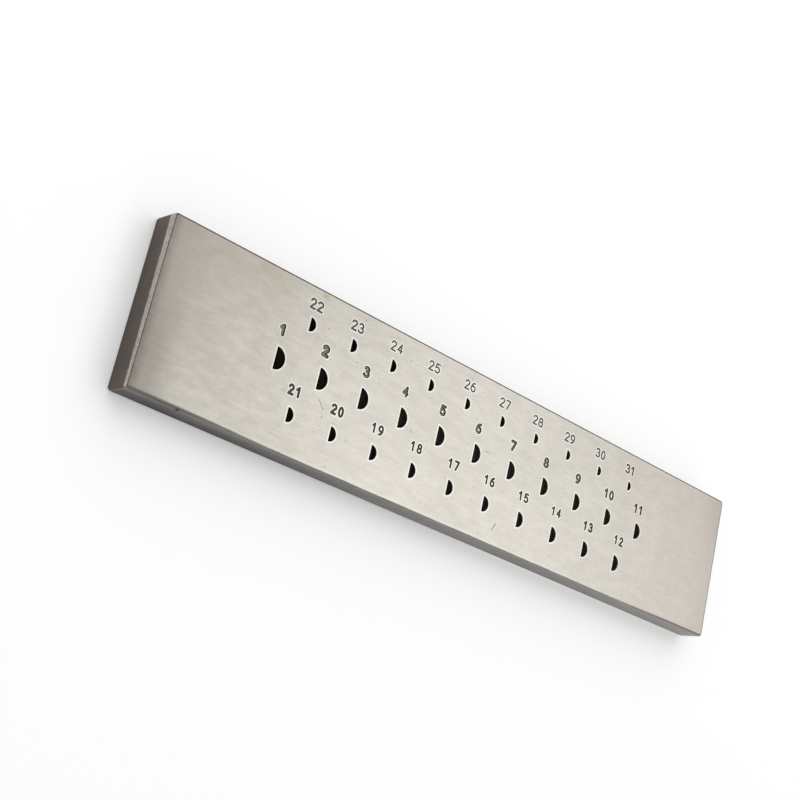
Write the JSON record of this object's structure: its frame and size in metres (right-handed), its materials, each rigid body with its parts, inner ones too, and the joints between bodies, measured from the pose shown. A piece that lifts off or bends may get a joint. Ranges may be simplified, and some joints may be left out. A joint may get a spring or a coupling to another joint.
{
  "type": "wire draw plate",
  "caption": "Flat hardened steel bar with staggered rows of tapered half-round holes that fall in size, for pulling wire down to a half-round section.",
  "frame": {"origin": "centre of the plate's outline on its back face", "axes": "+X along the length, towards the end of the middle row with the smaller holes; +Y across the width, towards the row with the smallest holes; +Z out of the numbered face"},
  "size_m": [0.2326, 0.0474, 0.009],
  "materials": {
    "ground_steel": "ground and hardened, fine grain along the length"
  },
  "bodies": {
    "root": {"draw_plate": "ground_steel"}
  },
  "joints": []
}
